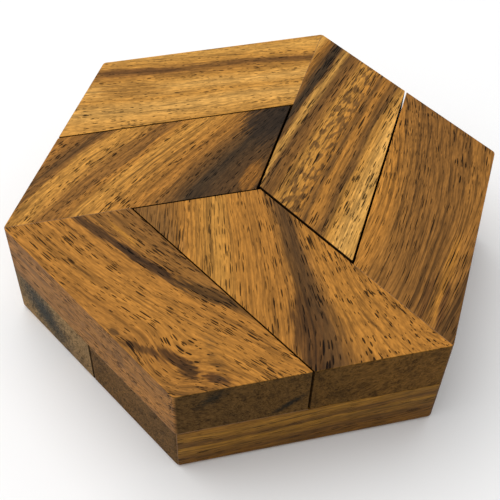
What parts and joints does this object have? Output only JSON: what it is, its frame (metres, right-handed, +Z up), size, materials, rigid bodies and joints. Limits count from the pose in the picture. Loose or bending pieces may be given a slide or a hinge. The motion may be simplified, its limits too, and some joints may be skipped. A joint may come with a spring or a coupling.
{
  "type": "hexagonal burr puzzle",
  "caption": "Flat hexagonal wooden burr puzzle of glued bars in layers, whose interlocked pieces come apart by sliding outwards together.",
  "frame": {"origin": "centre of the underside", "axes": "+Z up through the puzzle's thickness, +X from the centre to the hexagon's right corner, the way the right piece slides out"},
  "size_m": [0.1196, 0.104, 0.0306],
  "materials": {
    "golden_brown_wood": "satin",
    "banded_brown_wood": "satin",
    "olive_brown_wood": "satin",
    "grey_brown_wood": "satin",
    "light_golden_wood": "satin",
    "striped_wood": "satin",
    "pale_brown_wood": "satin",
    "mid_brown_wood": "satin",
    "reddish_brown_wood": "satin",
    "orange_brown_wood": "satin",
    "warm_brown_wood": "satin",
    "dark_brown_wood": "satin",
    "wood_glue": "matt"
  },
  "bodies": {
    "left_piece": {"left_piece_top_outer_bar": "golden_brown_wood", "left_piece_top_inner_bar": "banded_brown_wood", "left_piece_bottom_outer_bar": "olive_brown_wood", "left_piece_bottom_inner_bar": "grey_brown_wood", "left_piece_top_bar_glue": "wood_glue", "left_piece_bottom_bar_glue": "wood_glue", "left_piece_layer_glue": "wood_glue", "left_piece_centre_glue": "wood_glue"},
    "rear_piece": {"rear_piece_top_outer_bar": "light_golden_wood", "rear_piece_top_inner_bar": "striped_wood", "rear_piece_bottom_outer_bar": "pale_brown_wood", "rear_piece_bottom_inner_bar": "mid_brown_wood", "rear_piece_top_bar_glue": "wood_glue", "rear_piece_bottom_bar_glue": "wood_glue", "rear_piece_layer_glue": "wood_glue", "rear_piece_centre_glue": "wood_glue"},
    "right_piece": {"right_piece_top_outer_bar": "reddish_brown_wood", "right_piece_top_inner_bar": "orange_brown_wood", "right_piece_bottom_outer_bar": "warm_brown_wood", "right_piece_bottom_inner_bar": "dark_brown_wood", "right_piece_top_bar_glue": "wood_glue", "right_piece_bottom_bar_glue": "wood_glue", "right_piece_layer_glue": "wood_glue", "right_piece_centre_glue": "wood_glue"}
  },
  "joints": [
    {"name": "right_piece_slide", "type": "slide", "parent": "left_piece", "child": "right_piece", "axis": [1, 0, 0], "range_m": [0, 0.066]},
    {"name": "rear_piece_slide", "type": "slide", "parent": "left_piece", "child": "rear_piece", "axis": [0.5, 0.866, 0], "range_m": [0, 0.066]}
  ],
  "couplings": [
    {"joint": "rear_piece_slide", "follows": "right_piece_slide", "ratio": 1}
  ]
}
